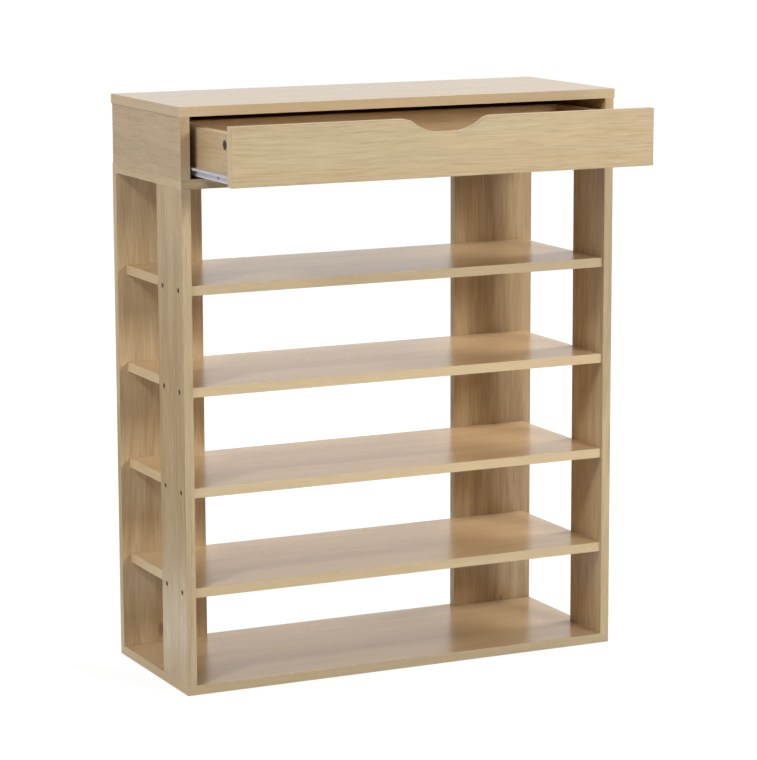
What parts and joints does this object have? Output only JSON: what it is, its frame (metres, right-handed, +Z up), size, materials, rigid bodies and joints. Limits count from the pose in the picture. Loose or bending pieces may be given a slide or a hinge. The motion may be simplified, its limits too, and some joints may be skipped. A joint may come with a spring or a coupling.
{
  "type": "shoe rack",
  "caption": "Tall open shoe rack of oak-look board, with shelves on board legs under a shallow drawer that runs on roller slides.",
  "frame": {"origin": "middle of the base panel's underside, on the floor", "axes": "+X to the right seen from the front, +Y to the back, +Z up; the drawer opens towards -Y"},
  "size_m": [0.754, 0.445, 0.915],
  "materials": {
    "oak_board": "satin oak-look laminate with fine grain",
    "fibreboard": "matt thin fibreboard",
    "coated_steel": "white coated sheet steel",
    "zinc": "zinc plated",
    "nylon": "moulded nylon",
    "dowel_wood": "plain fluted beech"
  },
  "bodies": {
    "rack": {"base_panel": "oak_board", "shelf_1": "oak_board", "shelf_2": "oak_board", "shelf_3": "oak_board", "shelf_4": "oak_board", "front_leg_left": "oak_board", "front_leg_right": "oak_board", "rear_leg_left": "oak_board", "rear_leg_right": "oak_board", "case_floor": "oak_board", "case_side_left": "oak_board", "case_side_right": "oak_board", "top_panel": "oak_board", "case_back": "fibreboard", "case_slide_left": "coated_steel", "case_slide_right": "coated_steel", "case_roller_pins": "zinc", "front_leg_screws": "zinc", "rear_leg_screws": "zinc", "base_screws": "zinc", "case_floor_screws": "zinc", "case_side_screws": "zinc", "case_cam_locks": "zinc", "case_cam_bolts": "zinc", "case_dowels": "dowel_wood", "case_slide_screws": "zinc", "back_nails": "zinc"},
    "drawer": {"drawer_front": "oak_board", "drawer_side_left": "oak_board", "drawer_side_right": "oak_board", "drawer_back": "oak_board", "drawer_bottom": "fibreboard", "drawer_slide_left": "coated_steel", "drawer_slide_right": "coated_steel", "drawer_roller_pins": "zinc", "drawer_cam_locks": "zinc", "drawer_cam_bolts": "zinc", "drawer_dowels": "dowel_wood", "drawer_back_screws": "zinc", "drawer_slide_screws": "zinc"},
    "front_roller_left": {"case_roller_left": "nylon"},
    "front_roller_right": {"case_roller_right": "nylon"},
    "rear_roller_left": {"drawer_roller_left": "nylon"},
    "rear_roller_right": {"drawer_roller_right": "nylon"}
  },
  "joints": [
    {"name": "drawer_slide", "type": "slide", "parent": "rack", "child": "drawer", "axis": [0, -1, 0], "range_m": [-0.155, 0.035]},
    {"name": "case_roller_left_turn", "type": "hinge", "parent": "rack", "child": "front_roller_left", "pos_m": [-0.35255, -0.118, 0.8148], "axis": [1, 0, 0], "continuous": true},
    {"name": "drawer_roller_left_turn", "type": "hinge", "parent": "drawer", "child": "rear_roller_left", "pos_m": [-0.35495, -0.043, 0.8159], "axis": [1, 0, 0], "continuous": true},
    {"name": "case_roller_right_turn", "type": "hinge", "parent": "rack", "child": "front_roller_right", "pos_m": [0.35255, -0.118, 0.8148], "axis": [1, 0, 0], "continuous": true},
    {"name": "drawer_roller_right_turn", "type": "hinge", "parent": "drawer", "child": "rear_roller_right", "pos_m": [0.35495, -0.043, 0.8159], "axis": [1, 0, 0], "continuous": true}
  ],
  "couplings": [
    {"joint": "case_roller_left_turn", "follows": "drawer_slide", "rad_per_m": 166.67},
    {"joint": "drawer_roller_left_turn", "follows": "drawer_slide", "rad_per_m": 123.46},
    {"joint": "case_roller_right_turn", "follows": "drawer_slide", "rad_per_m": 166.67},
    {"joint": "drawer_roller_right_turn", "follows": "drawer_slide", "rad_per_m": 123.46}
  ]
}
